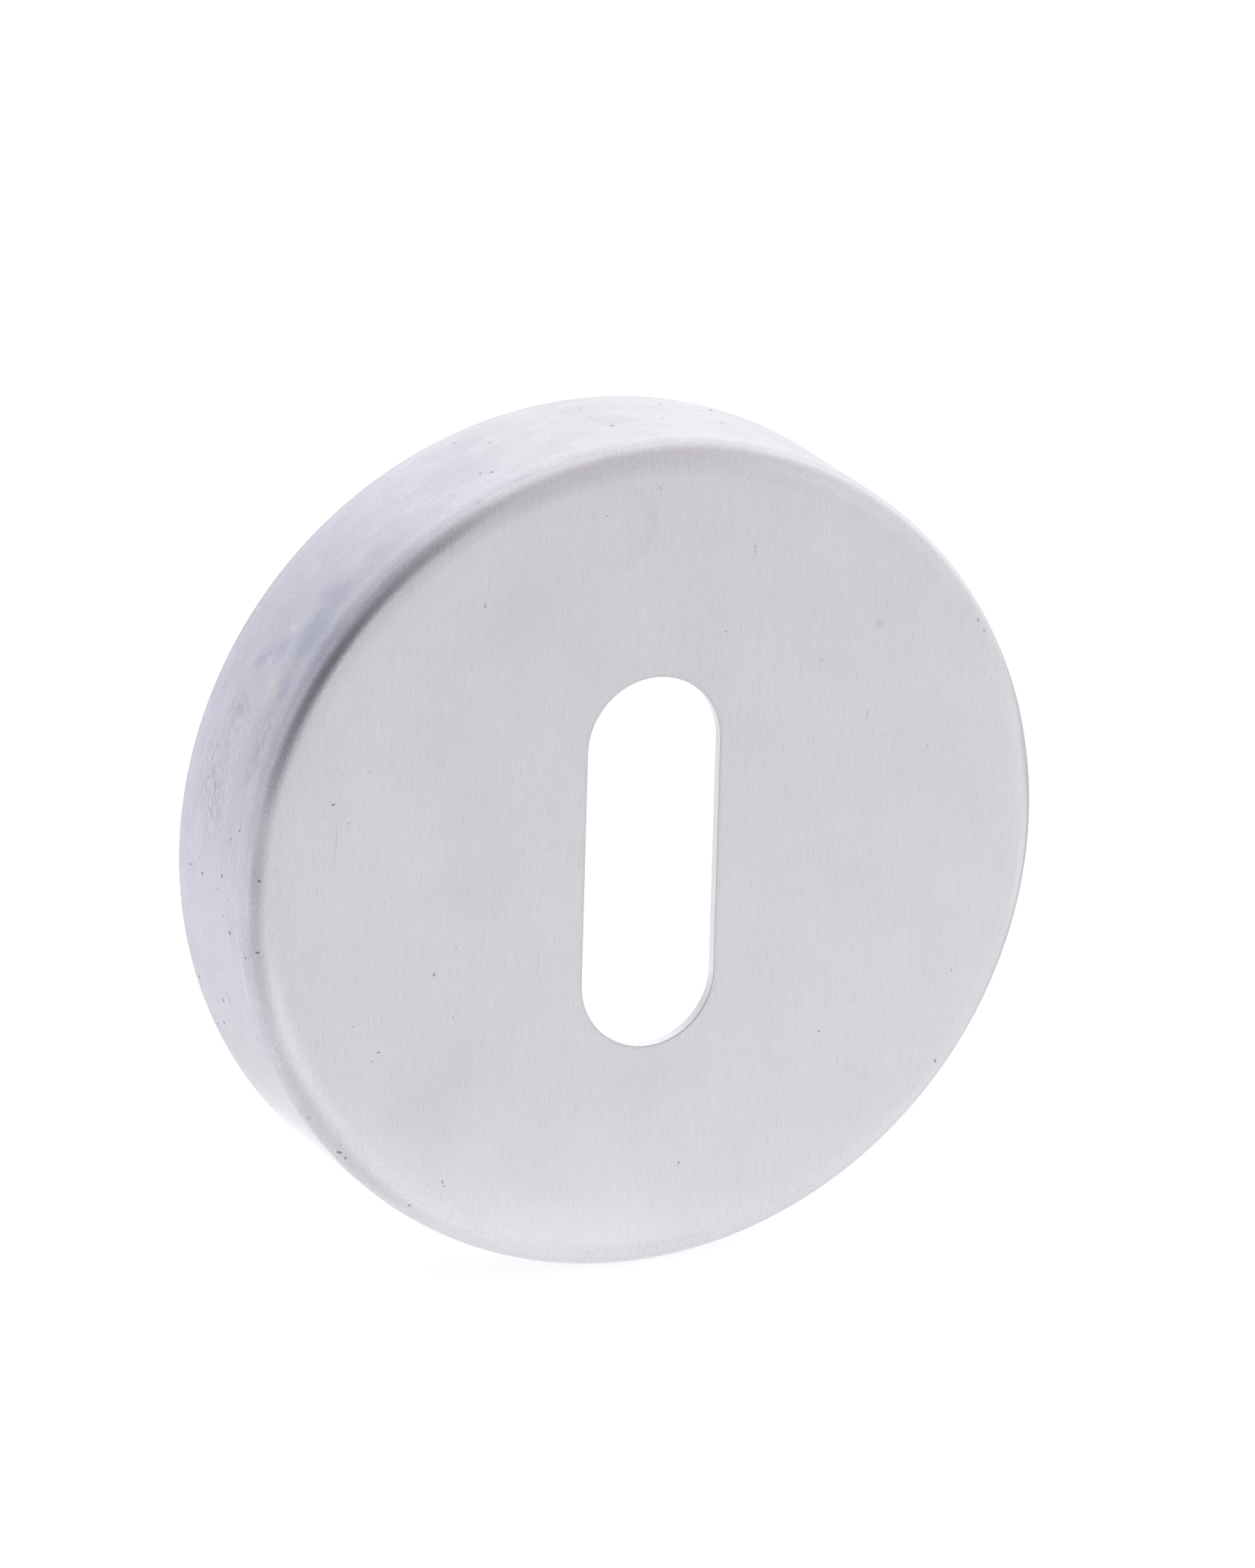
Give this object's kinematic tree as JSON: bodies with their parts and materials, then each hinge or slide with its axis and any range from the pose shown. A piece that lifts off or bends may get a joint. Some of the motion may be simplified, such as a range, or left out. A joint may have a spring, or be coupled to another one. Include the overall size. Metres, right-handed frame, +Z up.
{
  "type": "keyhole escutcheon",
  "caption": "Round pressed stainless cover for a lever-lock keyhole: flat brushed face with an upright round-ended slot, rounded edge and a straight hollow wall.",
  "frame": {"origin": "on the cover's axis, in the plane of the wall's raw edge, which is the door's surface", "axes": "+Y goes into the door, so the face looks along -Y; +Z is up along the keyhole slot; +X is right when looking at the face"},
  "size_m": [0.052, 0.0117, 0.052],
  "materials": {
    "brushed_stainless": "fine upright brushed grain on the face, drawn and lightly brushed round the wall, satin"
  },
  "bodies": {
    "root": {"escutcheon_cover": "brushed_stainless"}
  },
  "joints": []
}
